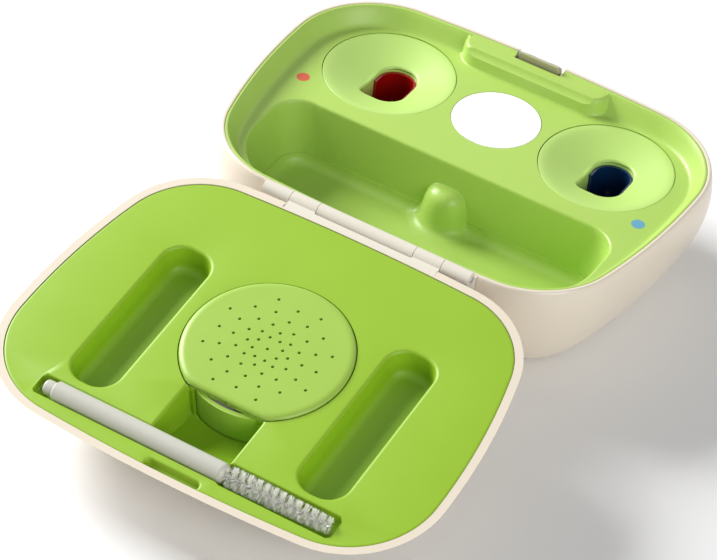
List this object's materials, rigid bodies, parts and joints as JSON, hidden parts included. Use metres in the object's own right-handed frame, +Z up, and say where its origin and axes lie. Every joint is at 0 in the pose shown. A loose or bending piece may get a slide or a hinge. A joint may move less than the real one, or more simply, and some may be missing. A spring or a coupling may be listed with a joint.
{
  "type": "hearing aid charger",
  "caption": "Hinged pebble-shaped case with two charging slots, a storage trough, a drying capsule and a cleaning brush clipped in its lid.",
  "frame": {"origin": "centre of the case's underside, on the surface it stands on", "axes": "+X along the hinge towards the red-lined slot, +Y from the latch towards the hinge, +Z up"},
  "size_m": [0.1242, 0.1843, 0.0351],
  "materials": {
    "shell": "satin moulded plastic",
    "tray_green": "fine satin plastic",
    "insert_green": "fine satin plastic",
    "panel_green": "fine satin plastic",
    "capsule_green": "fine satin plastic",
    "disc_white": "smooth plastic",
    "liner_red": "polished plastic",
    "liner_blue": "polished plastic",
    "dot_red": "inlaid plastic",
    "dot_blue": "inlaid plastic",
    "catch": "satin plastic",
    "hinge": "satin moulded plastic",
    "steel": "bright steel",
    "board": "solder mask",
    "battery": "sleeved cell",
    "gold": "gold plated",
    "light": "clear light pipe",
    "rubber": "matt rubber",
    "drying_agent": "bead-filled tablet",
    "brush_grey": "satin plastic",
    "bristle": "nylon bristle"
  },
  "bodies": {
    "base": {"base_shell": "shell", "base_tray": "tray_green", "marker_dot_right": "dot_red", "marker_dot_left": "dot_blue", "centre_disc": "disc_white", "latch_spring": "steel", "circuit_board": "board", "battery": "battery", "contacts_right": "gold", "contacts_left": "gold", "power_inlet": "steel", "inlet_board": "board", "status_light": "light", "case_screws": "steel", "rubber_pad": "rubber", "hinge_base_leaf": "hinge", "hinge_pin": "steel"},
    "latch": {"latch_catch": "catch", "release_button": "catch"},
    "insert_unit_right": {"insert_right": "insert_green", "liner_right": "liner_red"},
    "insert_unit_left": {"insert_left": "insert_green", "liner_left": "liner_blue"},
    "lid": {"lid_shell": "shell", "lid_panel": "panel_green", "hinge_lid_leaf": "hinge"},
    "drying_capsule": {"capsule_cup": "capsule_green", "capsule_cover": "capsule_green", "drying_agent": "drying_agent"},
    "brush": {"brush_handle": "brush_grey", "brush_cap": "brush_grey", "brush_bristles": "bristle"}
  },
  "joints": [
    {"name": "lid_hinge", "type": "hinge", "parent": "base", "child": "lid", "pos_m": [0, 0.0467, 0.03307], "axis": [-1, 0, 0], "range_deg": [-189.7, 0]},
    {"name": "latch_press", "type": "slide", "parent": "base", "child": "latch", "axis": [0, 1, 0], "range_m": [0, 0.0006], "stiffness_N_per_m": 800, "springref_m": -0.0008, "deforming": ["latch_spring"]},
    {"name": "insert_right_lift", "type": "slide", "parent": "base", "child": "insert_unit_right", "axis": [0, 0, 1], "range_m": [0, 0.025]},
    {"name": "insert_left_lift", "type": "slide", "parent": "base", "child": "insert_unit_left", "axis": [0, 0, 1], "range_m": [0, 0.025]},
    {"name": "capsule_lift", "type": "slide", "parent": "lid", "child": "drying_capsule", "axis": [0, 0.1685, 0.9857], "range_m": [0, 0.025]},
    {"name": "brush_lift", "type": "slide", "parent": "lid", "child": "brush", "axis": [0, 0.1685, 0.9857], "range_m": [0, 0.02]}
  ]
}
